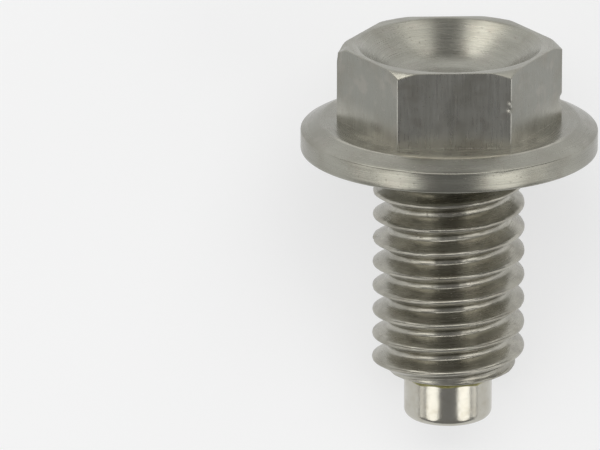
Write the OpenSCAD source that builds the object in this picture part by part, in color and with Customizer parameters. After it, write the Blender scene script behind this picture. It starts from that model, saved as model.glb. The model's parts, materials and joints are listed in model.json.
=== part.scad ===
// Flanged hexagon drain plug with a magnet in its tip, lying on its side.
// The plug is drawn upright, with its axis on Z, its head up and the flange's sealing face at z = 0.
// lay_down() then tips it until the flange rim and the last thread rest on the floor at z = 0,
// with the head towards +Y and the middle of its footprint at the origin.

/* [Thread] */
// Outside diameter of the thread
thread_d = 11.1; // [10:0.1:13]
// Threads in one inch of length
threads_per_inch = 14; // [12:1:20]
// Depth of the thread, from crest to root
thread_depth = 1.1; // [0.5:0.05:1.15]
// Width of the flat on each crest
crest_flat = 0.18; // [0.05:0.01:0.2]
// Height of one crest above the sealing face, on the +X side
crest_at = -0.46; // [-1:0.01:1]
// Length from the sealing face to the tip face
shank_len = 16.7; // [12:0.1:24]
// Length of the plain relief under the flange
relief_len = 1.2; // [0.6:0.1:2.5]
// How far the relief and the tip face's edge lie inside the thread root
root_inset = 0.12; // [0.05:0.01:0.4]
// Angle of the thread's run-in at the relief, from the axis
run_in_angle = 45; // [30:1:60]
// Angle of the chamfer at the tip, from the axis
tip_angle = 60; // [30:1:65]

/* [Flange] */
// Diameter of the flange
flange_d = 21.5; // [19:0.1:28]
// Height of the flange's straight rim
rim_h = 1.5; // [0.8:0.05:2.5]
// Thickness of the flange under the hexagon
flange_t = 2.2; // [1.6:0.01:3.5]
// Diameter of the flat land that the hexagon stands on
land_d = 18.7; // [17:0.1:18.9]
// Edge break at the rim's lower edge
rim_break = 0.1; // [0.05:0.05:0.3]

/* [Head] */
// Hexagon size across its flats
hex_af = 14.1; // [12:0.1:14.6]
// Height of the head's top above the sealing face
head_h = 7.8; // [6:0.1:12]
// Turn of the hexagon about the axis
hex_turn = 2; // [-30:1:30]
// Diameter at which the corner chamfer meets the top
corner_d = 15.1; // [14.7:0.05:16]
// Slope of the corner chamfer, down from the top
corner_angle = 35; // [15:1:45]
// Diameter of the dish at the top
dish_d = 13.5; // [10:0.1:13.8]
// Depth of the dish
dish_depth = 2.6; // [1:0.1:3.6]

/* [Magnet] */
// Diameter of the magnet
magnet_d = 6.4; // [4:0.1:7]
// Length of magnet that stands out of the tip
magnet_out = 3.65; // [1:0.05:6]
// Depth of the blind bore that holds the magnet
bore_depth = 6; // [3:0.1:9]
// Clearance between magnet and bore, on the radius
bore_clearance = 0.05; // [0.02:0.01:0.15]
// Radius of the magnet's outer edge
magnet_edge = 0.5; // [0.1:0.05:1]

/* [Hidden] */
$fn = 96;

// Overlap that keeps two solids of one piece joined, and lets a cut break through a face
joint = 0.5;
// Half of the thread's included angle
flank_angle = 30;
// Steps in one turn of the thread
steps = 40;
// Thread points nearer than this to an end face are moved onto it
snap = 0.03;

pitch = 25.4 / threads_per_inch;
crest_r = thread_d / 2;
root_r = crest_r - thread_depth;
flange_r = flange_d / 2;
magnet_r = magnet_d / 2;
bore_r = magnet_r + bore_clearance;
magnet_len = bore_depth + magnet_out;
hex_corner_r = hex_af / 2 / cos(30);

// The thread's section over one pitch: place along the pitch, counted from a crest, and radius
crest_half = crest_flat / 2 / pitch;
flank_span = thread_depth * tan(flank_angle) / pitch;
section = [
    [-crest_half, crest_r],
    [crest_half, crest_r],
    [crest_half + flank_span / 2, (crest_r + root_r) / 2],
    [crest_half + flank_span, root_r],
    [1 - crest_half - flank_span, root_r],
    [1 - crest_half - flank_span / 2, (crest_r + root_r) / 2],
];

// The threaded length, and the edge radius that both of its end faces have
thread_bottom = -shank_len;
thread_top = -relief_len;
end_r = root_r - root_inset;

// Section points climb each side of the shank from one turn under the tip to one over the relief
per_turn = len(section);
first_turn = floor((thread_bottom - crest_at) / pitch) - 2;
last_point = per_turn * (ceil((thread_top - thread_bottom) / pitch) + 4);

function point_z(step, i) =
    crest_at + pitch * (step / steps + first_turn + floor(i / per_turn) + section[i % per_turn][0]);

// The last point under the tip face and the first one over the relief, for each step of a turn
lowest = [for (s = [0:steps - 1])
    max([for (i = [0:last_point]) if (point_z(s, i) <= thread_bottom + snap) i])];
highest = [for (s = [0:steps - 1])
    min([for (i = [0:last_point]) if (point_z(s, i) >= thread_top - snap) i])];

function chamfered(r, z) = min(
    r,
    end_r + (z - thread_bottom) * tan(tip_angle),
    end_r + (thread_top - z) * tan(run_in_angle));

function thread_point(step, i) =
    let (
        z = i <= lowest[step] ? thread_bottom : i >= highest[step] ? thread_top : point_z(step, i),
        r = chamfered(section[i % per_turn][1], z),
        turn = 360 * step / steps)
    [r * cos(turn), r * sin(turn), z];

// A point's number in the polyhedron: points past an end count as the one on it,
// and the step after the last is the first step, one pitch further up.
function number(step, i) =
    step == steps
        ? number(0, i + per_turn)
        : step * (last_point + 1) + min(max(i, lowest[step]), highest[step]);

function is_triangle(f) = f[0] != f[1] && f[1] != f[2] && f[2] != f[0];

// Threaded length of the shank, as one closed solid
module threaded_rod() {
    points = [for (s = [0:steps - 1]) for (i = [0:last_point]) thread_point(s, i)];
    sides = [for (s = [0:steps - 1]) for (i = [0:last_point - 1])
        let (
            low = number(s, i),
            up = number(s, i + 1),
            next_low = number(s + 1, i),
            next_up = number(s + 1, i + 1))
        for (f = [[low, up, next_up], [low, next_up, next_low]]) if (is_triangle(f)) f];
    tip_face = [for (s = [0:steps - 1]) number(s, 0)];
    relief_face = [for (s = [steps - 1:-1:0]) number(s, last_point)];
    polyhedron(points = points, faces = concat(sides, [tip_face, relief_face]));
}

// Flange with its flat sealing face, straight rim and bevel up to the land
module flange() {
    rotate_extrude()
        polygon([
            [0, 0],
            [flange_r - rim_break, 0],
            [flange_r, rim_break],
            [flange_r, rim_h],
            [land_d / 2, flange_t],
            [0, flange_t],
        ]);
}

// Everything under the corner chamfer's cone
module corner_cone() {
    base_r = corner_d / 2 + head_h / tan(corner_angle);
    cylinder(r1 = base_r, r2 = corner_d / 2, h = head_h);
}

// Hexagon with chamfered corners
module hexagon() {
    intersection() {
        translate([0, 0, flange_t - joint])
            rotate([0, 0, hex_turn])
                cylinder(r = hex_corner_r, h = head_h - flange_t + joint, $fn = 6);
        corner_cone();
    }
}

// Space of the round dish in the head's top, as a ball that sinks into it
module dish() {
    ball_r = (pow(dish_d / 2, 2) + pow(dish_depth, 2)) / (2 * dish_depth);
    translate([0, 0, head_h - dish_depth + ball_r])
        sphere(ball_r);
}

// Stainless steel body in its upright place
module upright_body() {
    difference() {
        union() {
            flange();
            hexagon();
            translate([0, 0, thread_top - joint])
                cylinder(r = end_r - root_inset / 2, h = relief_len + 2 * joint);
            threaded_rod();
        }
        dish();
        translate([0, 0, thread_bottom - joint])
            cylinder(r = bore_r, h = bore_depth + joint);
    }
}

// Magnet on the floor of its bore, with a rounded outer edge
module upright_magnet() {
    translate([0, 0, thread_bottom - magnet_out])
        rotate_extrude() {
            translate([0, magnet_edge])
                square([magnet_r, magnet_len - magnet_edge]);
            square([magnet_r - magnet_edge, magnet_len]);
            translate([magnet_r - magnet_edge, magnet_edge])
                circle(magnet_edge);
        }
}

// Radius of the thread straight above the floor, where the plug's +Y side faces down
function radius_over_floor(z) =
    let (
        from_crest = (z - crest_at) / pitch - 1 / 4,
        along = abs(from_crest - round(from_crest)),
        r = crest_r - max(0, along - crest_half) * pitch / tan(flank_angle))
    chamfered(max(r, root_r), z);

// The plug leans until the first of these points below the rim touches the floor
rim_z = rim_break;
thread_leans = [for (z = [thread_bottom:0.02:thread_top])
    atan((flange_r - radius_over_floor(z)) / (rim_z - z))];
magnet_lean = atan((flange_r - magnet_r) / (rim_z - thread_bottom + magnet_out - magnet_edge));
lean = min(concat(thread_leans, [magnet_lean]));

// Reach of the lying plug towards its head and towards its magnet, from the middle of the sealing face
top_chord = sqrt(pow(corner_d, 2) - pow(hex_af, 2)) / 2;
hex_lean = abs(hex_turn - 60 * round(hex_turn / 60));
head_reach = head_h * cos(lean) + (hex_af / 2 * cos(hex_lean) + top_chord * sin(hex_lean)) * sin(lean);
tip_reach = (shank_len + magnet_out - magnet_edge) * cos(lean)
    + (magnet_r - magnet_edge) * sin(lean) + magnet_edge;
rest_height = flange_r * cos(lean) - rim_z * sin(lean);

// From the upright place to the one at rest on the floor
module lay_down() {
    translate([0, (tip_reach - head_reach) / 2, rest_height])
        rotate([lean - 90, 0, 0])
            children();
}

module plug_body() {
    color([0.56, 0.56, 0.53])
        lay_down()
            upright_body();
}

module magnet() {
    color([0.78, 0.76, 0.70])
        lay_down()
            upright_magnet();
}

plug_body();
magnet();
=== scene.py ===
"""A flanged hexagon drain plug with a magnet in its tip, lying on a pale studio floor.

Every piece is drawn upright in millimetres, with the plug's axis on Z, its head up and the flange's
sealing face at z = 0. PlugFrame then lays the finished mesh where the frame's mounts say.
"""
from __future__ import annotations

import json
import logging
import math
from dataclasses import dataclass
from enum import Enum
from typing import Callable, Sequence, Union

import bmesh
import bpy
from mathutils import Matrix, Vector, noise

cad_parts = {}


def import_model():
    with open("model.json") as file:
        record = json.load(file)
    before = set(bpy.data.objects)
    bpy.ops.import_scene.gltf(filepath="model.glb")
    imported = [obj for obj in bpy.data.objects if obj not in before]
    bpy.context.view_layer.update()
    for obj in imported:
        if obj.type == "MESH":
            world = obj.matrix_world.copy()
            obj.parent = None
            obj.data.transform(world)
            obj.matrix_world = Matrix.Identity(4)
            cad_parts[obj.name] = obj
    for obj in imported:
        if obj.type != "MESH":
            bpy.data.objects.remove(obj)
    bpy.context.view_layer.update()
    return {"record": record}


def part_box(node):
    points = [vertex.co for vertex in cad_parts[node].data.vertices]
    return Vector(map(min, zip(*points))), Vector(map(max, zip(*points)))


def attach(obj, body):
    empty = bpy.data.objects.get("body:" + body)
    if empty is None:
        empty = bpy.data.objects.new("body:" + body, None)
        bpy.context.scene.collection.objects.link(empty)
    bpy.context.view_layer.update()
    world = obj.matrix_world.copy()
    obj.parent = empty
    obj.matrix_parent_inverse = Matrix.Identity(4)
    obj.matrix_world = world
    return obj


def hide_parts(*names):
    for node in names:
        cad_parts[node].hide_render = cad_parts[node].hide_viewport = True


log = logging.getLogger("drain_plug")

MM = 0.001
# Pitch of the coarse inch thread, 14 to the inch
PITCH = 25.4 / 14
# Turn of the hexagon about the upright plug's axis
HEX_TURN = math.radians(2)
# Direction that the hexagon's front flat faces, on the upright plug
FRONT_FLAT = (math.cos(HEX_TURN - math.pi / 2), math.sin(HEX_TURN - math.pi / 2))
BODY = "root"
BODY_NODE = "plug_body"
MAGNET_NODE = "magnet"
STEEL_SLOT = "stainless_steel"
NICKEL_SLOT = "nickel_plate"

Value = Union[float, bpy.types.NodeSocket]
Colour = tuple[float, float, float]
Place = tuple[float, float, float]


class Cut(Enum):
    """How a steel surface got its finish."""

    TURNED = "turned"
    FLAT = "flat"
    THREAD = "thread"


@dataclass(frozen=True)
class PlugFrame:
    """Place of the upright plug in the scene.

    Attributes:
        origin: Middle of the flange's sealing face, in metres.
        up: Direction from the tip to the head.
    """

    origin: Vector
    up: Vector

    @classmethod
    def from_record(cls, record: dict) -> "PlugFrame":
        """Reads the plug's axis from the mounts.

        Args:
            record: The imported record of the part.

        Returns:
            The plug's frame.
        """
        mounts = {mount["name"]: mount for mount in record["mounts"]}
        face, thread = mounts["sealing_face"], mounts["thread"]
        up = -Vector(face["axis"]).normalized()
        on_axis = Vector(thread["pos_m"])
        rise = (Vector(face["pos_m"]) - on_axis).dot(up)
        return cls(origin=on_axis + up * rise, up=up)

    @property
    def tilt(self) -> float:
        """Turn about X that lays the upright plug down, in radians."""
        return math.asin(self.up.z) - math.pi / 2

    def matrix(self) -> Matrix:
        """Returns the matrix from upright millimetres to the scene."""
        turned = Matrix.Translation(self.origin) @ Matrix.Rotation(self.tilt, 4, "X")
        return turned @ Matrix.Scale(MM, 4)


class Graph:
    """Adds nodes to a shader or geometry tree and joins them."""

    def __init__(self, tree: bpy.types.NodeTree) -> None:
        """Takes the tree to work on."""
        self.tree = tree

    def add(self, kind: str, **settings: object) -> bpy.types.Node:
        """Adds one node.

        Args:
            kind: The node's type name.
            settings: Attributes to set on the node.

        Returns:
            The new node.
        """
        node = self.tree.nodes.new(kind)
        for name, value in settings.items():
            setattr(node, name, value)
        return node

    def feed(self, target: bpy.types.NodeSocket, value: object) -> None:
        """Links a socket to an input, or sets the input to a plain value."""
        if isinstance(value, bpy.types.NodeSocket):
            self.tree.links.new(value, target)
        else:
            target.default_value = value

    def math(self, operation: str, *values: Value) -> bpy.types.NodeSocket:
        """Adds a Math node.

        Args:
            operation: The node's operation.
            values: Its inputs in order, sockets or numbers.

        Returns:
            The result's socket.
        """
        node = self.add("ShaderNodeMath", operation=operation)
        for target, value in zip(node.inputs, values):
            self.feed(target, value)
        return node.outputs[0]

    def combine(self, x: Value, y: Value, z: Value) -> bpy.types.NodeSocket:
        """Returns a vector made of three values."""
        node = self.add("ShaderNodeCombineXYZ")
        for target, value in zip(node.inputs, (x, y, z)):
            self.feed(target, value)
        return node.outputs[0]

    def noise(self, vector: bpy.types.NodeSocket, scale: float, detail: float = 2.0,
              rough: float = 0.5) -> bpy.types.NodeSocket:
        """Adds a noise texture.

        Args:
            vector: Where to read the noise.
            scale: Size of the pattern, larger is finer.
            detail: Number of finer layers.
            rough: Strength of the finer layers.

        Returns:
            The noise value's socket, about 0.5 on average.
        """
        node = self.add("ShaderNodeTexNoise")
        self.feed(node.inputs["Vector"], vector)
        node.inputs["Scale"].default_value = scale
        node.inputs["Detail"].default_value = detail
        node.inputs["Roughness"].default_value = rough
        return node.outputs[0]

    def span(self, value: Value, low: float, high: float, out_low: float = 0.0,
             out_high: float = 1.0) -> bpy.types.NodeSocket:
        """Maps a value from one range to another, clamped and eased.

        Args:
            value: The value to map.
            low: Where the result starts to leave out_low.
            high: Where it reaches out_high.
            out_low: Result at low.
            out_high: Result at high.

        Returns:
            The mapped value's socket.
        """
        node = self.add("ShaderNodeMapRange", interpolation_type="SMOOTHSTEP")
        for target, number in zip(node.inputs, (value, low, high, out_low, out_high)):
            self.feed(target, number)
        return node.outputs[0]

    def bump(self, shader: bpy.types.Node, height: bpy.types.NodeSocket, strength: float,
             depth: float) -> None:
        """Gives a shader a bump.

        Args:
            shader: The shader.
            height: The bump's height.
            strength: How strong it shows.
            depth: What a height of 1 stands for, in millimetres.
        """
        node = self.add("ShaderNodeBump")
        node.inputs["Strength"].default_value = strength
        node.inputs["Distance"].default_value = depth * MM
        self.feed(node.inputs["Height"], height)
        self.feed(shader.inputs["Normal"], node.outputs[0])

    def blend(self, share: Value, first: object, second: object) -> bpy.types.NodeSocket:
        """Mixes two colours.

        Args:
            share: Share of the second colour.
            first: Colour or socket.
            second: Colour or socket.

        Returns:
            The mixed colour's socket.
        """
        node = self.add("ShaderNodeMix", data_type="RGBA")
        targets = (node.inputs[0], node.inputs[6], node.inputs[7])
        for target, value in zip(targets, (share, first, second)):
            if isinstance(value, tuple):
                value = (*value, 1.0)
            self.feed(target, value)
        return node.outputs[2]


def blank_material(name: str) -> tuple[bpy.types.Material, Graph, bpy.types.Node]:
    """Starts a material.

    Args:
        name: Name of the material.

    Returns:
        The material, its graph and its shader.
    """
    made = bpy.data.materials.new(name)
    made.use_nodes = True
    return made, Graph(made.node_tree), made.node_tree.nodes["Principled BSDF"]


@dataclass(frozen=True)
class PlugCoordinates:
    """Sockets that place a material on the upright plug, in millimetres."""

    point: bpy.types.NodeSocket
    x: bpy.types.NodeSocket
    y: bpy.types.NodeSocket
    z: bpy.types.NodeSocket
    radius: bpy.types.NodeSocket
    side_x: bpy.types.NodeSocket
    side_y: bpy.types.NodeSocket

    @classmethod
    def on(cls, graph: Graph, frame: PlugFrame) -> "PlugCoordinates":
        """Adds the nodes that turn object coordinates upright.

        Args:
            graph: The material's graph.
            frame: The plug's place.

        Returns:
            The sockets.
        """
        source = graph.add("ShaderNodeTexCoord").outputs["Object"]
        mapping = graph.add("ShaderNodeMapping", vector_type="TEXTURE")
        graph.feed(mapping.inputs["Vector"], source)
        mapping.inputs["Location"].default_value = frame.origin
        mapping.inputs["Rotation"].default_value = (frame.tilt, 0.0, 0.0)
        mapping.inputs["Scale"].default_value = (MM, MM, MM)
        point = mapping.outputs[0]
        parts = graph.add("ShaderNodeSeparateXYZ")
        graph.feed(parts.inputs[0], point)
        x, y, z = parts.outputs
        squares = graph.math("ADD", graph.math("MULTIPLY", x, x), graph.math("MULTIPLY", y, y))
        radius = graph.math("SQRT", graph.math("ADD", squares, 1e-6))
        side_x, side_y = (graph.math("DIVIDE", value, radius) for value in (x, y))
        return cls(point, x, y, z, radius, side_x, side_y)


@dataclass(frozen=True)
class Steel:
    """Plain stainless steel as one tool left it.

    Attributes:
        name: Name of the material.
        cut: How the surface was made.
        colour: Colour of the clean metal.
        rough: Roughness between the tool marks.
        mark_depth: Strength of the tool marks in the bump.
        streaking: How much the tool marks darken the metal.
        soiling: How much old oil darkens it in clouds.
        front_flat_painted_light: Colour of the front flat, painted light that makes it paler than the
            other flats.
        foot_and_land_painted_light: Colour of the painted light round the hexagon's foot and on the
            middle of the flange's land.
        warm: Colour where heat has tinted it.
        stain: Colour of old oil and of pits.
        shade: Colour in the tool marks, and the painted shade on the flange's two sides.
        pitted: Middle of the pitted patch, on the upright plug in millimetres.
        pitch: Pitch of the thread, for marks that follow it.
        fine: Fine tool marks across one millimetre, about.
        broad: Broad tool marks across one millimetre, about.
    """

    name: str
    cut: Cut
    colour: Colour
    rough: float = 0.3
    mark_depth: float = 0.25
    streaking: float = 0.5
    soiling: float = 0.4
    front_flat_painted_light: Colour = (0.47, 0.465, 0.43)
    foot_and_land_painted_light: Colour = (0.58, 0.56, 0.49)
    warm: Colour = (0.355, 0.335, 0.30)
    stain: Colour = (0.2, 0.18, 0.14)
    shade: Colour = (0.27, 0.265, 0.23)
    pitted: Place = (-2.7, -4.4, 6.4)
    pitch: float = PITCH
    fine: float = 9.0
    broad: float = 2.2

    def marks(self, graph: Graph, at: PlugCoordinates, fineness: float) -> bpy.types.NodeSocket:
        """Adds the long marks that the tool left.

        Args:
            graph: The material's graph.
            at: The plug's coordinates.
            fineness: Marks across one millimetre, about.

        Returns:
            The marks' height, about 0.5 on average.
        """
        if self.cut is Cut.FLAT:
            stretched = graph.combine(at.x, at.y, graph.math("MULTIPLY", at.z, 0.06))
            return graph.noise(stretched, fineness, 3.0, 0.6)
        if self.cut is Cut.TURNED:
            across = graph.math("ADD", graph.math("MULTIPLY", at.radius, 0.8), at.z)
            return graph.noise(self.ring_point(graph, at, across, fineness), 1.0, 3.0, 0.6)
        return self.helix_marks(graph, at, fineness)

    def ring_point(self, graph: Graph, at: PlugCoordinates, across: bpy.types.NodeSocket,
                   fineness: float) -> bpy.types.NodeSocket:
        """Gives noise coordinates that change fast across the marks and slowly along them.

        Args:
            graph: The material's graph.
            at: The plug's coordinates.
            across: Place across the marks, in millimetres.
            fineness: Marks across one millimetre, about.

        Returns:
            The coordinates' socket.
        """
        along = 1.6
        return graph.combine(graph.math("MULTIPLY", at.side_x, along),
                             graph.math("MULTIPLY", at.side_y, along),
                             graph.math("MULTIPLY", across, fineness))

    def helix_marks(self, graph: Graph, at: PlugCoordinates, fineness: float) -> bpy.types.NodeSocket:
        """Adds marks that climb with the thread.

        A helix has no seamless coordinate across its turns, so the front and the back of the shank
        have a pattern each, and the two fade into each other at the sides.

        Args:
            graph: The material's graph.
            at: The plug's coordinates.
            fineness: Marks across one millimetre, about.

        Returns:
            The marks' height.
        """
        rise = self.pitch / (2 * math.pi)
        patterns = []
        for side in (1.0, -1.0):
            turn = graph.math("ARCTAN2", graph.math("MULTIPLY", at.side_x, side),
                              graph.math("MULTIPLY", at.side_y, -side))
            across = graph.math("SUBTRACT", at.z, graph.math("MULTIPLY", turn, rise))
            patterns.append(graph.noise(self.ring_point(graph, at, across, fineness), 1.0, 3.0, 0.65))
        share = graph.span(at.side_y, -0.35, 0.35)
        front = graph.math("MULTIPLY", patterns[0], graph.math("SUBTRACT", 1.0, share))
        return graph.math("ADD", front, graph.math("MULTIPLY", patterns[1], share))

    def tone_with_painted_light(self, graph: Graph, at: PlugCoordinates) -> Union[bpy.types.NodeSocket, Colour]:
        """Gives the metal's colour without dirt, by where it lies on the plug.

        The flats are paler at their foot, and the front one all over, both painted light. The flange's
        land is paler near the front and the back, painted reflected light, and the flange has painted
        shade at its two sides.

        Args:
            graph: The material's graph.
            at: The plug's coordinates.

        Returns:
            The colour, as a socket where it varies.
        """
        if self.cut is Cut.FLAT:
            front = graph.math("ADD", graph.math("MULTIPLY", at.x, FRONT_FLAT[0]),
                               graph.math("MULTIPLY", at.y, FRONT_FLAT[1]))
            # Painted light: the flats are paler towards their foot, standing in for reflected light
            # there.
            tone = graph.blend(graph.span(at.z, 4.6, 2.3, 0.0, 0.6), self.colour, self.foot_and_land_painted_light)
            # Painted light: the front flat is paler all over than the other flats.
            return graph.blend(graph.span(front, 6.92, 7.01), tone, self.front_flat_painted_light)
        if self.cut is Cut.TURNED:
            # Painted light: the flange's land is paler near the front and the back, standing in for
            # reflected light.
            flange = graph.span(at.z, 2.6, 2.3)
            land = graph.math("MULTIPLY", graph.span(at.z, 2.11, 2.17), flange)
            end = graph.span(graph.math("ABSOLUTE", at.side_x), 0.8, 0.97)
            middle = graph.math("MULTIPLY", land, graph.math("SUBTRACT", 1.0, end))
            # Painted shade: the flange is darker at its two sides.
            side_painted_shade = graph.math("MULTIPLY", graph.math("MULTIPLY", flange, end), 0.8)
            return graph.blend(side_painted_shade, graph.blend(middle, self.colour, self.foot_and_land_painted_light), self.shade)
        return self.colour

    def pitting(self, graph: Graph, at: PlugCoordinates) -> bpy.types.NodeSocket:
        """Returns scattered pits, thickest in a patch on the dish's near wall."""
        speck = graph.noise(at.point, 5.5, 2.0, 0.7)
        if self.cut is not Cut.TURNED:
            return graph.span(speck, 0.66, 0.74)
        away = graph.add("ShaderNodeVectorMath", operation="DISTANCE")
        graph.feed(away.inputs[0], at.point)
        away.inputs[1].default_value = self.pitted
        near = graph.span(away.outputs["Value"], 2.6, 0.8, 0.0, 0.1)
        return graph.span(graph.math("ADD", speck, near), 0.66, 0.72)

    def material(self, frame: PlugFrame) -> bpy.types.Material:
        """Builds the material.

        Args:
            frame: The plug's place.

        Returns:
            The new material.
        """
        made, graph, shader = blank_material(self.name)
        shader.inputs["Metallic"].default_value = 1.0
        at = PlugCoordinates.on(graph, frame)
        fine = self.marks(graph, at, self.fine)
        broad = self.marks(graph, at, self.broad)
        cloud = graph.noise(at.point, 0.45, 3.0, 0.55)
        blush = graph.noise(at.point, 0.8, 2.0, 0.5)
        pits = self.pitting(graph, at)
        grime = graph.math("MULTIPLY", graph.span(cloud, 0.42, 0.78), self.soiling)
        dirt = graph.math("MAXIMUM", grime, graph.math("MULTIPLY", pits, 0.8))
        tinted = graph.span(blush, 0.52, 0.68, 0.0, 0.5)
        tone = graph.blend(tinted, self.tone_with_painted_light(graph, at), self.warm)
        tone = graph.blend(dirt, tone, self.stain)
        streak = graph.span(broad, 0.3, 0.7, 0.0, self.streaking)
        graph.feed(shader.inputs["Base Color"], graph.blend(streak, tone, self.shade))
        wear = graph.math("MULTIPLY", graph.math("SUBTRACT", fine, 0.5), 0.28)
        rough = graph.math("ADD", wear, self.rough)
        rough = graph.math("ADD", rough, graph.math("MULTIPLY", pits, 0.15))
        graph.feed(shader.inputs["Roughness"], rough)
        height = graph.math("ADD", fine, graph.math("MULTIPLY", broad, 0.6))
        height = graph.math("SUBTRACT", height, graph.math("MULTIPLY", pits, 1.2))
        graph.bump(shader, height, self.mark_depth, 0.02)
        return made


@dataclass(frozen=True)
class NickelPlate:
    """Polished nickel on the magnet."""

    name: str = "polished_nickel"
    colour: Colour = (0.52, 0.505, 0.45)
    haze: Colour = (0.44, 0.415, 0.35)
    rough: float = 0.16

    def material(self, frame: PlugFrame) -> bpy.types.Material:
        """Builds the material for the plug at the given place."""
        made, graph, shader = blank_material(self.name)
        shader.inputs["Metallic"].default_value = 1.0
        at = PlugCoordinates.on(graph, frame)
        cloud = graph.noise(at.point, 0.7, 3.0, 0.6)
        graph.feed(shader.inputs["Base Color"],
                   graph.blend(graph.span(cloud, 0.4, 0.8), self.colour, self.haze))
        grain = graph.noise(at.point, 2.0, 3.0, 0.6)
        graph.feed(shader.inputs["Roughness"],
                   graph.span(grain, 0.3, 0.8, self.rough, self.rough + 0.08))
        graph.bump(shader, graph.noise(at.point, 1.1, 3.0, 0.5), 0.5, 0.02)
        return made


@dataclass(frozen=True)
class Adhesive:
    """Yellow-green bonding compound, squeezed out round the magnet."""

    name: str = "bonding_adhesive"
    colour: Colour = (0.24, 0.22, 0.06)
    pale: Colour = (0.5, 0.47, 0.2)
    rough: float = 0.35

    def material(self, frame: PlugFrame) -> bpy.types.Material:
        """Builds the material for the plug at the given place."""
        made, graph, shader = blank_material(self.name)
        shader.inputs["Roughness"].default_value = self.rough
        at = PlugCoordinates.on(graph, frame)
        lumps = graph.noise(at.point, 1.8, 4.0, 0.65)
        graph.feed(shader.inputs["Base Color"],
                   graph.blend(graph.span(lumps, 0.4, 0.7), self.colour, self.pale))
        graph.bump(shader, graph.noise(at.point, 4.0, 3.0, 0.6), 0.5, 0.03)
        return made


@dataclass(frozen=True)
class Floor:
    """Pale matt floor of the studio.

    Attributes:
        name: Name of the floor.
        colour: Colour of the floor.
        paling: Share of plain white that the camera and the plug's metal see in it.
        width: Width in metres.
    """

    name: str = "studio_floor"
    colour: Colour = (0.92, 0.935, 0.96)
    paling: float = 0.62
    width: float = 6.0

    def build(self) -> bpy.types.Object:
        """Returns:
            The floor's object.
        """
        half = self.width / 2
        mesh = bpy.data.meshes.new(self.name)
        corners = [(-half, -half, 0.0), (half, -half, 0.0), (half, half, 0.0), (-half, half, 0.0)]
        mesh.from_pydata(corners, [], [(0, 1, 2, 3)])
        floor = bpy.data.objects.new(self.name, mesh)
        bpy.context.scene.collection.objects.link(floor)
        made, graph, shader = blank_material(self.name)
        shader.inputs["Base Color"].default_value = (*self.colour, 1.0)
        shader.inputs["Roughness"].default_value = 0.9
        shader.inputs["Specular IOR Level"].default_value = 0.0
        seen = graph.add("ShaderNodeLightPath").outputs
        share = graph.math("MAXIMUM", seen["Is Camera Ray"],
                           graph.math("MAXIMUM", seen["Is Glossy Ray"], seen["Is Transmission Ray"]))
        white = graph.add("ShaderNodeEmission")
        mixed = graph.add("ShaderNodeMixShader")
        graph.feed(mixed.inputs[0], graph.math("MULTIPLY", share, self.paling))
        graph.feed(mixed.inputs[1], shader.outputs[0])
        graph.feed(mixed.inputs[2], white.outputs[0])
        graph.feed(made.node_tree.nodes["Material Output"].inputs["Surface"], mixed.outputs[0])
        mesh.materials.append(made)
        return floor


@dataclass(frozen=True)
class Band:
    """One ring of points round the plug's axis, and the finish of the band that leads to it.

    Attributes:
        radius: Radius in millimetres, or a function of the azimuth.
        height: Height in millimetres, or a function of the azimuth.
        cut: Finish of the faces between the ring before and this one.
    """

    radius: Union[float, Callable[[float], float]]
    height: Union[float, Callable[[float], float]]
    cut: Cut = Cut.TURNED

    def point(self, azimuth: float) -> Vector:
        """Returns the ring's point at an azimuth in radians."""
        radius = self.radius(azimuth) if callable(self.radius) else self.radius
        height = self.height(azimuth) if callable(self.height) else self.height
        return Vector((radius * math.cos(azimuth), radius * math.sin(azimuth), height))


@dataclass(frozen=True)
class Dent:
    """A small blow in a surface.

    Attributes:
        place: Middle of the dent on the upright plug, in millimetres.
        reach: Radius of the dent.
        depth: How far its middle is pushed in.
        push: Direction of the push, or None for straight towards the axis.
    """

    place: Place
    reach: float
    depth: float
    push: Union[Place, None] = None

    def apply(self, points: Sequence[bmesh.types.BMVert]) -> None:
        """Moves the points that lie in the dent."""
        middle = Vector(self.place)
        for point in points:
            away = (point.co - middle).length / self.reach
            if away < 1.0:
                to_axis = Vector((-point.co.x, -point.co.y, 0.0))
                inward = Vector(self.push) if self.push else to_axis
                point.co += inward.normalized() * self.depth * (1 - away * away) ** 2


def closed_shell(bands: Sequence[Band], azimuths: Sequence[float]) -> bmesh.types.BMesh:
    """Builds a closed shell from rings, with its first and last ring drawn in to poles.

    Args:
        bands: The rings, from one pole to the other.
        azimuths: Azimuths of the columns, in radians.

    Returns:
        The shell, with its material indices in the order of Cut.
    """
    order = list(Cut)
    shell = bmesh.new()
    rings = [[shell.verts.new(band.point(azimuth)) for azimuth in azimuths] for band in bands]
    columns = len(azimuths)
    for band, low, high in zip(bands[1:], rings, rings[1:]):
        for column in range(columns):
            following = (column + 1) % columns
            face = shell.faces.new((low[column], low[following], high[following], high[column]))
            face.material_index = order.index(band.cut)
    for ring, band in ((rings[0], bands[0]), (rings[-1], bands[-1])):
        middle = sum((point.co for point in ring), Vector()) / columns
        pole = shell.verts.new((0.0, 0.0, middle.z))
        for column in range(columns):
            face = shell.faces.new((ring[column], ring[(column + 1) % columns], pole))
            face.material_index = order.index(band.cut)
    bmesh.ops.recalc_face_normals(shell, faces=shell.faces)
    return shell


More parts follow.
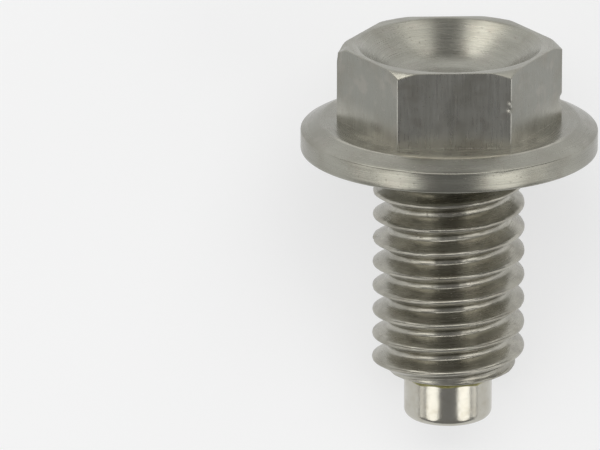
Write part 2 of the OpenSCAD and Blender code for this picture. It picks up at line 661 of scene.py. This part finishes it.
def place_mesh(name: str, shell: bmesh.types.BMesh, frame: PlugFrame,
               materials: Sequence[bpy.types.Material]) -> bpy.types.Object:
    """Turns a shell into a smooth-shaded object at the origin, with its place in its mesh.

    Args:
        name: Name of the piece.
        shell: The upright shell in millimetres. It is freed.
        frame: The plug's place.
        materials: Materials in the order of the shell's material indices.

    Returns:
        The new object.
    """
    for face in shell.faces:
        face.smooth = True
    mesh = bpy.data.meshes.new(name)
    shell.to_mesh(mesh)
    shell.free()
    mesh.transform(frame.matrix())
    for material in materials:
        mesh.materials.append(material)
    piece = bpy.data.objects.new(name, mesh)
    bpy.context.scene.collection.objects.link(piece)
    return piece


def steps(low: float, high: float, count: int) -> list[float]:
    """Returns evenly spaced values from low to high, both included."""
    return [low + (high - low) * index / (count - 1) for index in range(count)]


@dataclass
class FlangedHead:
    """Dished hexagon head, cold formed in one piece with its flange.

    Sizes are in millimetres, and those that end in _r are radii.

    Attributes:
        corner_r: Radius at which the corner chamfer meets the top.
        corner_round: Rounding of the edges between the flats.
        edge: Rounding of the edge between a flat and the top.
        dish_slope: Slope of the dish's wall.
        dish_soft: How softly the wall turns into the dish's floor.
        neck_r: Radius of the underside's closed middle, inside the shank.
        foot_fillet: Fillet at the flats' foot.
        guard: Distance of the rings that keep the shading of that fillet narrow.
        waviness: Depth of the gentle waves in the outer surface.
        flat_rows: Rings down the flats.
    """

    flange_r: float
    head_h: float = 7.8
    across_flats: float = 14.1
    hex_turn: float = HEX_TURN
    corner_r: float = 15.1 / 2
    corner_slope: float = math.tan(math.radians(35))
    corner_round: float = 0.045
    edge: float = 0.05
    dish_r: float = 13.5 / 2
    dish_depth: float = 2.75
    dish_slope: float = math.tan(math.radians(41))
    dish_soft: float = 0.9
    flange_t: float = 2.2
    land_r: float = 18.7 / 2
    rim_h: float = 1.5
    neck_r: float = 4.0
    foot_fillet: float = 0.006
    guard: float = 0.005
    waviness: float = 0.012
    flat_rows: int = 44
    dents: tuple[Dent, ...] = (
        Dent((-8.0, -0.28, 7.45), 0.95, 0.11, (0.7, 0.0, -0.7)),
        Dent((-6.4, -3.1, 7.75), 0.35, 0.08, (0.5, 0.4, -0.7)),
        Dent((-5.2, -4.6, 7.75), 0.3, 0.06, (0.5, 0.4, -0.7)),
        Dent((8.05, 0.28, 3.7), 0.42, 0.16),
        Dent((8.05, 0.28, 3.25), 0.25, 0.1),
        Dent((4.3, -6.88, 5.5), 0.22, 0.07),
        Dent((4.3, -6.88, 4.95), 0.28, 0.1),
        Dent((3.54, -10.1, 1.51), 0.3, 0.09, (0.0, 0.4, -1.0)),
    )

    def azimuths(self) -> list[float]:
        """Returns the columns' azimuths, close together at the hexagon's corners."""
        beside_corner = (0.0, 0.15, 0.3, 0.42, 0.6, 1.2, 2.4, 4.2, 6.0, 7.6, 9.5,
                         12.0, 15.0, 18.0, 21.0, 24.0, 27.0)
        offsets = sorted({*beside_corner, *(-value for value in beside_corner)} | {30.0})
        return [self.hex_turn + math.radians(60 * side + offset)
                for side in range(6) for offset in offsets]

    def flat_reach(self, azimuth: float) -> float:
        """Returns the hexagon's radius at an azimuth, with its corners rounded."""
        from_corner = (azimuth - self.hex_turn + math.pi / 6) % (math.pi / 3) - math.pi / 6
        inner = self.across_flats / 2 - self.corner_round
        centre = inner / math.cos(math.pi / 6)
        limit = math.pi / 6 - math.atan(centre * 0.5 / (self.across_flats / 2))
        if abs(from_corner) >= limit:
            return self.across_flats / 2 / math.cos(math.pi / 6 - abs(from_corner))
        across = centre * math.sin(from_corner)
        return centre * math.cos(from_corner) + math.sqrt(self.corner_round ** 2 - across ** 2)

    def top_at(self, radius: float) -> float:
        """Returns the height at a radius of the head's top: dish, lip or corner chamfer."""
        def softened(depth: float, soft: float) -> float:
            """Returns the depth where it is over zero, with a soft start."""
            return (depth + math.sqrt(depth * depth + soft * soft)) / 2

        wall = (self.dish_r - radius) * self.dish_slope
        dish = self.dish_depth - softened(self.dish_depth - wall, self.dish_soft)
        chamfer = (radius - self.corner_r) * self.corner_slope
        return self.head_h - softened(dish, 0.06) - softened(chamfer, 0.03)

    def dish_bands(self) -> list[Band]:
        """Returns the dish, from its middle to its lip."""
        radii = [*steps(0.3, self.dish_r - 0.3, 18), *steps(self.dish_r - 0.2, self.dish_r + 0.05, 6)]
        return [Band(radius, self.top_at(radius)) for radius in radii]

    def top_bands(self) -> list[Band]:
        """Returns the land and the corner chamfer, out to the rounded edge over the flats."""
        inner = self.dish_r + 0.09
        bands = []
        for share in steps(0.0, 1.0, 12):
            def radius(azimuth: float, share: float = share) -> float:
                """Returns the ring's radius, a share of the way out."""
                return inner + (self.flat_reach(azimuth) - self.edge - inner) * share
            bands.append(Band(radius, lambda azimuth, radius=radius: self.top_at(radius(azimuth))))
        for across, down in ((0.3, 0.12), (0.08, 0.42), (0.0, 1.0)):
            bands.append(Band(
                lambda azimuth, across=across: self.flat_reach(azimuth) - self.edge * across,
                lambda azimuth, down=down: self.top_at(self.flat_reach(azimuth)) - self.edge * down))
        return bands

    def side_bands(self) -> list[Band]:
        """Returns the six flats, down to the fillet at their foot."""
        foot = self.flange_t + self.foot_fillet
        bands = []
        for share in steps(0.0, 1.0, self.flat_rows)[1:]:
            def height(azimuth: float, share: float = share) -> float:
                """Returns the ring's height, a share of the way down."""
                top = self.top_at(self.flat_reach(azimuth)) - self.edge
                return top + (foot - top) * share
            bands.append(Band(self.flat_reach, height, Cut.FLAT))
        bands.insert(-1, Band(self.flat_reach, foot + self.guard, Cut.FLAT))
        for share in (0.35, 0.7, 1.0):
            turn = share * math.pi / 2
            bands.append(Band(
                lambda azimuth, turn=turn: (
                    self.flat_reach(azimuth) + self.foot_fillet * (1 - math.cos(turn))),
                self.flange_t + self.foot_fillet * (1 - math.sin(turn)), Cut.FLAT))
        return bands

    def flange_bands(self) -> list[Band]:
        """Returns the flange's land, bevel, rim and underside."""
        def foot(azimuth: float) -> float:
            """Returns the radius of the fillet's outer end."""
            return self.flat_reach(azimuth) + self.foot_fillet

        bands = [Band(lambda azimuth: foot(azimuth) + self.guard, self.flange_t)]
        for share in steps(0.12, 1.0, 6):
            bands.append(Band(
                lambda azimuth, share=share: foot(azimuth) * (1 - share) + (self.land_r - 0.08) * share,
                self.flange_t))
        fall = (self.flange_t - self.rim_h) / (self.flange_r - self.land_r)
        bands.append(Band(self.land_r, self.flange_t - 0.012))
        for radius in steps(self.land_r + 0.08, self.flange_r - 0.1, 6):
            bands.append(Band(radius, self.flange_t - (radius - self.land_r) * fall))
        bands.append(Band(self.flange_r - 0.04, self.rim_h + 0.012))
        bands.append(Band(self.flange_r - 0.012, self.rim_h - 0.02))
        for height in steps(self.rim_h - 0.07, 0.14, 7):
            bands.append(Band(self.flange_r, height))
        bands.append(Band(self.flange_r - 0.03, 0.05))
        bands.append(Band(self.flange_r - 0.1, 0.0))
        for radius in steps(self.flange_r - 0.25, self.neck_r, 6):
            bands.append(Band(radius, 0.0))
        return bands

    def build(self, frame: PlugFrame, materials: Sequence[bpy.types.Material]) -> bpy.types.Object:
        """Builds the head and the flange.

        Args:
            frame: The plug's place.
            materials: Steel finishes in the order of Cut.

        Returns:
            The piece.
        """
        bands = [*self.dish_bands(), *self.top_bands(), *self.side_bands(), *self.flange_bands()]
        shell = closed_shell(bands, self.azimuths())
        for point in shell.verts:
            # The sealing face and its edge stay true
            if point.co.z > 0.1:
                side = Vector((point.co.x, point.co.y, 0.0)).normalized()
                point.co -= side * self.waviness * (0.5 + 0.5 * noise.noise(point.co * 0.9))
        for dent in self.dents:
            dent.apply(shell.verts)
        return place_mesh("flanged_head", shell, frame, materials)


@dataclass
class ThreadedShank:
    """Rolled thread from the relief under the flange to the tip.

    Sizes are in millimetres, and heights are counted from the sealing face.

    Attributes:
        crest_half: Half the width of the flat on the crest.
        crest_at: Height of one crest, on the +X side.
        flank: Angle between a flank and the radius.
        root_inset: How far the relief and the tip face's edge lie inside the root.
        bore_shown: Length of the bore's wall over the tip face.
        neck_top: Height of the shank's closed end, inside the flange.
        round_crest: Rounding where the crest meets the flanks.
        round_root: Rounding at the root.
        wear: Depth of the wear, which grows towards the flange.
    """

    crest_r: float = 11.1 / 2
    pitch: float = PITCH
    depth: float = 1.1
    crest_half: float = 0.09
    crest_at: float = -0.46
    flank: float = math.radians(30)
    bottom: float = -16.7
    top: float = -1.2
    root_inset: float = 0.12
    tip_slope: float = math.tan(math.radians(60))
    run_in_slope: float = math.tan(math.radians(45))
    bore_r: float = 3.25
    bore_shown: float = 1.0
    neck_top: float = 0.4
    round_crest: float = 0.09
    round_root: float = 0.1
    columns: int = 240
    rows_per_turn: int = 18
    wear: float = 0.045
    seed: float = 3.0
    dents: tuple[Dent, ...] = (
        Dent((-5.5, -0.4, -6.75), 0.4, 0.22),
    )

    @property
    def end_r(self) -> float:
        """Radius of the tip face and of the relief's edge."""
        return self.crest_r - self.depth - self.root_inset

    def tree(self) -> bpy.types.NodeTree:
        """Builds the node tree that winds the thread.

        A grid is wrapped round the axis. Every row of it climbs one pitch in a turn, so the crest
        and the root each follow a row of points.

        Returns:
            The node tree, with its sizes as named inputs.
        """
        tree = bpy.data.node_groups.new("threaded_shank", "GeometryNodeTree")
        sizes = {
            "Crest Radius": self.crest_r, "Pitch": self.pitch, "Depth": self.depth,
            "Half Crest": self.crest_half, "Crest Height": self.crest_at, "Bottom": self.bottom,
            "Top": self.top, "End Radius": self.end_r, "Tip Slope": self.tip_slope,
            "Run In Slope": self.run_in_slope, "Crest Rounding": self.round_crest,
            "Root Rounding": self.round_root, "Wear": self.wear, "Seed": self.seed,
        }
        for name, value in sizes.items():
            size = tree.interface.new_socket(name=name, in_out="INPUT", socket_type="NodeSocketFloat")
            size.default_value = value
        tree.interface.new_socket(name="Finish", in_out="INPUT", socket_type="NodeSocketMaterial")
        tree.interface.new_socket(name="Geometry", in_out="OUTPUT", socket_type="NodeSocketGeometry")
        graph = Graph(tree)
        given = graph.add("NodeGroupInput").outputs
        first_turn = math.floor((self.bottom - self.crest_at) / self.pitch) - 1
        turns = math.ceil((self.top - self.bottom) / self.pitch) + 3
        grid = graph.add("GeometryNodeMeshGrid")
        grid.inputs["Vertices X"].default_value = self.columns + 1
        grid.inputs["Vertices Y"].default_value = turns * self.rows_per_turn + 1
        place = graph.add("ShaderNodeSeparateXYZ")
        graph.feed(place.inputs[0], graph.add("GeometryNodeInputPosition").outputs[0])
        around = graph.math("ADD", place.outputs[0], 0.5)
        row = graph.math("MULTIPLY", graph.math("ADD", place.outputs[1], 0.5), turns)
        turn = graph.math("MULTIPLY", around, 2 * math.pi)
        climb = graph.math("ADD", graph.math("ADD", row, around), first_turn)
        free = graph.math("MULTIPLY_ADD", climb, given["Pitch"], given["Crest Height"])
        height = graph.math("MINIMUM", graph.math("MAXIMUM", free, given["Bottom"]), given["Top"])

        from_crest = graph.math("MULTIPLY", graph.math("PINGPONG", row, 0.5), given["Pitch"])
        flank = graph.math("DIVIDE", graph.math("SUBTRACT", from_crest, given["Half Crest"]),
                           math.tan(self.flank))
        sunk = graph.math("SMOOTH_MAX", flank, 0.0, given["Crest Rounding"])
        sunk = graph.math("SMOOTH_MIN", sunk, given["Depth"], given["Root Rounding"])
        radius = graph.math("SUBTRACT", given["Crest Radius"], sunk)

        cosine, sine = graph.math("COSINE", turn), graph.math("SINE", turn)
        rough = graph.add("ShaderNodeTexNoise", noise_dimensions="4D")
        graph.feed(rough.inputs["Vector"], graph.combine(
            graph.math("MULTIPLY", cosine, 5.0), graph.math("MULTIPLY", sine, 5.0), height))
        graph.feed(rough.inputs["W"], given["Seed"])
        rough.inputs["Scale"].default_value = 1.8
        rough.inputs["Detail"].default_value = 5.0
        used = graph.add("ShaderNodeMapRange")
        for target, number in zip(used.inputs, (height, given["Bottom"], given["Top"], 0.4, 3.2)):
            graph.feed(target, number)
        loss = graph.math("MULTIPLY", rough.outputs[0], used.outputs[0])
        loss = graph.math("MULTIPLY", loss, given["Wear"])
        radius = graph.math("SUBTRACT", radius, loss)

        tip = graph.math("MULTIPLY_ADD", graph.math("SUBTRACT", height, given["Bottom"]),
                         given["Tip Slope"], given["End Radius"])
        run_in = graph.math("MULTIPLY_ADD", graph.math("SUBTRACT", given["Top"], height),
                            given["Run In Slope"], given["End Radius"])
        radius = graph.math("MINIMUM", radius, graph.math("MINIMUM", tip, run_in))

        wrapped = graph.add("GeometryNodeSetPosition")
        graph.feed(wrapped.inputs["Geometry"], grid.outputs["Mesh"])
        graph.feed(wrapped.inputs["Position"], graph.combine(
            graph.math("MULTIPLY", radius, cosine), graph.math("MULTIPLY", radius, sine), height))
        welded = graph.add("GeometryNodeMergeByDistance")
        graph.feed(welded.inputs["Geometry"], wrapped.outputs[0])
        welded.inputs["Distance"].default_value = 0.004
        real = graph.add("GeometryNodeRealizeInstances")
        graph.feed(real.inputs[0], welded.outputs[0])
        finish = graph.add("GeometryNodeSetMaterial")
        graph.feed(finish.inputs["Geometry"], real.outputs[0])
        graph.feed(finish.inputs["Material"], given["Finish"])
        graph.feed(graph.add("NodeGroupOutput").inputs[0], finish.outputs[0])
        return tree

    def wound(self, finish: bpy.types.Material) -> bpy.types.Mesh:
        """Evaluates the tree.

        Args:
            finish: Material that the tree sets.

        Returns:
            The thread as a plain upright mesh, open at both ends.
        """
        tree = self.tree()
        carrier = bpy.data.objects.new("thread_carrier", bpy.data.meshes.new("thread_carrier"))
        bpy.context.scene.collection.objects.link(carrier)
        winding = carrier.modifiers.new("winding", "NODES")
        winding.node_group = tree
        sockets = {item.name: item.identifier for item in tree.interface.items_tree
                   if item.in_out == "INPUT"}
        winding[sockets["Finish"]] = finish
        seen = carrier.evaluated_get(bpy.context.evaluated_depsgraph_get())
        result = bpy.data.meshes.new_from_object(seen)
        carrier.modifiers.remove(winding)
        bpy.data.objects.remove(carrier)
        return result

    def close_end(self, shell: bmesh.types.BMesh, level: float,
                  rings: Sequence[tuple[float, float]]) -> None:
        """Carries an open end through rings to a pole on the axis, in the order of the azimuth.

        Args:
            shell: The open thread.
            level: Height of the open end.
            rings: Radius and height of each further ring.
        """
        rim = {point for edge in shell.edges if edge.is_boundary for point in edge.verts
               if abs(point.co.z - level) < 0.01}
        inner = sorted(rim, key=lambda point: math.atan2(point.co.y, point.co.x))
        for radius, height in rings:
            outer, inner = inner, []
            for point in outer:
                side = Vector((point.co.x, point.co.y, 0.0)).normalized()
                inner.append(shell.verts.new(side * radius + Vector((0.0, 0.0, height))))
            for column, point in enumerate(inner):
                shell.faces.new((outer[column - 1], outer[column], point, inner[column - 1]))
        pole = shell.verts.new((0.0, 0.0, rings[-1][1]))
        for column, point in enumerate(inner):
            shell.faces.new((inner[column - 1], point, pole))

    def build(self, frame: PlugFrame, material: bpy.types.Material) -> bpy.types.Object:
        """Builds the shank.

        Args:
            frame: The plug's place.
            material: The thread's finish.

        Returns:
            The piece.
        """
        wound = self.wound(material)
        shell = bmesh.new()
        shell.from_mesh(wound)
        bpy.data.meshes.remove(wound)
        neck_r = self.end_r - self.root_inset / 2
        self.close_end(shell, self.top, ((neck_r, self.top), (neck_r, self.top / 2), (neck_r, 0.0),
                                         (neck_r, self.neck_top)))
        tip_ring = (self.end_r + self.bore_r) / 2
        self.close_end(shell, self.bottom, ((tip_ring, self.bottom), (self.bore_r, self.bottom),
                                            (self.bore_r, self.bottom + self.bore_shown)))
        for dent in self.dents:
            dent.apply(shell.verts)
        bmesh.ops.recalc_face_normals(shell, faces=shell.faces)
        for face in shell.faces:
            face.material_index = 0
        return place_mesh("threaded_shank", shell, frame, [material])


@dataclass
class TipMagnet:
    """Plated magnet in the tip's bore, with the compound that holds it.

    Sizes are in millimetres.

    Attributes:
        radius: Radius of the magnet.
        seat: Height of the tip face.
        stands_out: Length that stands out of the tip.
        inner: Length inside the bore.
        edge: Radius of the outer edge.
        bead_size: Thickness of the compound's bead, about.
        bead_drop: How far the bead's middle lies under the tip face.
    """

    radius: float
    seat: float
    stands_out: float = 3.65
    inner: float = 5.0
    edge: float = 0.55
    columns: int = 96
    bead_size: float = 0.45
    bead_drop: float = 0.34

    def azimuths(self) -> list[float]:
        """Returns the columns' azimuths."""
        return [2 * math.pi * column / self.columns for column in range(self.columns)]

    def build(self, frame: PlugFrame, material: bpy.types.Material) -> bpy.types.Object:
        """Builds the magnet with its rounded outer edge.

        Args:
            frame: The plug's place.
            material: The plate's finish.

        Returns:
            The piece.
        """
        corner = self.radius - self.edge
        outer_end = self.seat - self.stands_out
        bands = [Band(corner * share, outer_end) for share in (0.1, 0.3, 0.5, 0.7, 0.85, 0.95)]
        for turn in steps(0.0, math.pi / 2, 9):
            bands.append(Band(corner + self.edge * math.sin(turn),
                              outer_end + self.edge * (1 - math.cos(turn))))
        for height in steps(outer_end + self.edge + 0.15, self.seat + self.inner, 30):
            bands.append(Band(self.radius, height))
        bands.append(Band(self.radius - 0.15, self.seat + self.inner + 0.1))
        shell = closed_shell(bands, self.azimuths())
        for face in shell.faces:
            face.material_index = 0
        return place_mesh("tip_magnet", shell, frame, [material])

    def bead(self, frame: PlugFrame, material: bpy.types.Material) -> bpy.types.Object:
        """Builds the uneven ring of compound at the magnet's root.

        Args:
            frame: The plug's place.
            material: The compound's finish.

        Returns:
            The piece.
        """
        shell = bmesh.new()
        sides = 12
        rings = []
        for azimuth in self.azimuths():
            side = Vector((math.cos(azimuth), math.sin(azimuth), 0.0))
            swell = self.bead_size * (0.75 + 0.55 * noise.noise(side * 2.3 + Vector((0.0, 0.0, 4.0))))
            ring = []
            for step in range(sides):
                turn = 2 * math.pi * step / sides
                lump = 1 + 0.3 * noise.noise(side * 7 + Vector((math.cos(turn), math.sin(turn), 9.0)))
                out = self.radius + swell * lump * math.cos(turn)
                height = self.seat - self.bead_drop + 0.6 * swell * lump * math.sin(turn)
                ring.append(shell.verts.new(side * out + Vector((0.0, 0.0, height))))
            rings.append(ring)
        for index, ring in enumerate(rings):
            following = rings[(index + 1) % len(rings)]
            for step in range(sides):
                other = (step + 1) % sides
                shell.faces.new((ring[step], following[step], following[other], ring[other]))
        bmesh.ops.recalc_face_normals(shell, faces=shell.faces)
        return place_mesh("bonding_bead", shell, frame, [material])


@dataclass(frozen=True)
class Softbox:
    """A large rectangular studio lamp that faces the plug.

    Attributes:
        name: Name of the lamp.
        toward: Direction from the plug to the lamp.
        width: Width in metres.
        height: Height in metres.
        glow: Brightness of its face, where 1 is white.
        tint: Colour of its light.
        distance: Distance from the plug in metres.
    """

    name: str
    toward: Place
    width: float
    height: float
    glow: float
    tint: Colour = (1.0, 0.985, 0.95)
    distance: float = 1.2

    def build(self, target: Vector) -> None:
        """Adds the lamp, aimed at the target."""
        lamp = bpy.data.lights.new(self.name, "AREA")
        lamp.shape = "RECTANGLE"
        lamp.size = self.width
        lamp.size_y = self.height
        lamp.energy = self.glow * math.pi * self.width * self.height
        lamp.color = self.tint
        holder = bpy.data.objects.new(self.name, lamp)
        direction = Vector(self.toward).normalized()
        holder.location = target + direction * self.distance
        holder.rotation_euler = direction.to_track_quat("Z", "Y").to_euler()
        bpy.context.scene.collection.objects.link(holder)


@dataclass(frozen=True)
class Studio:
    """Floor, lamps, world and camera.

    Attributes:
        world_grey: Brightness of the plain world.
        camera_place: Place of the camera, in millimetres.
        camera_turn: Turn of the camera from straight down, in degrees.
        lens: Focal length in millimetres.
        sensor: Width of the sensor in millimetres.
        lamps: The lamps round the plug.
    """

    world_grey: float = 0.25
    camera_place: Place = (-10.776, -3.54, 710.1)
    camera_turn: Place = (0.264, 0.0, 0.0)
    lens: float = 581.1
    sensor: float = 36.0
    lamps: tuple[Softbox, ...] = (
        Softbox("key_left", (-0.62, -0.53, 0.57), 0.5, 0.62, 1.7),
        Softbox("key_right", (0.62, -0.53, 0.57), 0.5, 0.62, 1.75),
        Softbox("wing_left", (-0.93, -0.1, 0.33), 0.9, 0.7, 1.0),
        Softbox("wing_right", (0.93, -0.1, 0.33), 0.9, 0.7, 1.0),
        Softbox("back_left", (-0.45, 0.84, 0.26), 0.6, 0.55, 2.4),
        Softbox("back_right", (0.45, 0.84, 0.26), 0.6, 0.55, 1.25),
        Softbox("top", (0.0, 0.4, 0.92), 1.6, 0.6, 2.0),
    )

    def build(self, target: Vector) -> None:
        """Builds the studio round the target point."""
        scene = bpy.context.scene
        scene.view_settings.view_transform = "Standard"
        world = bpy.data.worlds.new("studio_world")
        world.use_nodes = True
        sky = world.node_tree.nodes["Background"]
        sky.inputs["Color"].default_value = (self.world_grey, self.world_grey, self.world_grey, 1.0)
        scene.world = world
        Floor().build()
        for lamp in self.lamps:
            lamp.build(target)
        camera = bpy.data.cameras.new("camera")
        camera.lens = self.lens
        camera.sensor_width = self.sensor
        camera.clip_start = 0.01
        camera.clip_end = 20.0
        holder = bpy.data.objects.new("camera", camera)
        holder.location = Vector(self.camera_place) * MM
        holder.rotation_euler = tuple(math.radians(turn) for turn in self.camera_turn)
        scene.collection.objects.link(holder)
        scene.camera = holder


def ride(piece: bpy.types.Object, slot: str, *nodes: str) -> None:
    """Binds a piece to the plug's body and reports it.

    Args:
        piece: The piece.
        slot: Material slot of the record. Not used.
        nodes: Nodes of the frame that the piece stands for.
    """
    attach(piece, BODY)
    if nodes:
        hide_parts(*nodes)
    log.info("%s: %d faces", piece.name, len(piece.data.polygons))


def main() -> None:
    """Builds the plug and the studio round it."""
    logging.basicConfig(level=logging.INFO, format="%(name)s: %(message)s")
    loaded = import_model()
    frame = PlugFrame.from_record(loaded["record"])
    body_low, body_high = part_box(BODY_NODE)
    magnet_low, magnet_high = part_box(MAGNET_NODE)
    finishes = {steel.cut: steel.material(frame) for steel in (
        Steel("steel_turned", Cut.TURNED, (0.37, 0.365, 0.32), rough=0.28),
        Steel("steel_flat", Cut.FLAT, (0.27, 0.27, 0.242), mark_depth=0.14, streaking=0.3),
        Steel("steel_thread", Cut.THREAD, (0.46, 0.445, 0.39), rough=0.28, mark_depth=0.7,
              soiling=0.6),
    )}

    head = FlangedHead(flange_r=(body_high[0] - body_low[0]) / 2 / MM)
    ride(head.build(frame, [finishes[cut] for cut in Cut]), STEEL_SLOT, BODY_NODE)
    shank = ThreadedShank()
    ride(shank.build(frame, finishes[Cut.THREAD]), STEEL_SLOT, BODY_NODE)
    magnet = TipMagnet(radius=(magnet_high[0] - magnet_low[0]) / 2 / MM, seat=shank.bottom)
    ride(magnet.build(frame, NickelPlate().material(frame)), NICKEL_SLOT, MAGNET_NODE)
    ride(magnet.bead(frame, Adhesive().material(frame)), STEEL_SLOT)

    Studio().build(frame.origin)


if __name__ == "__main__":
    main()
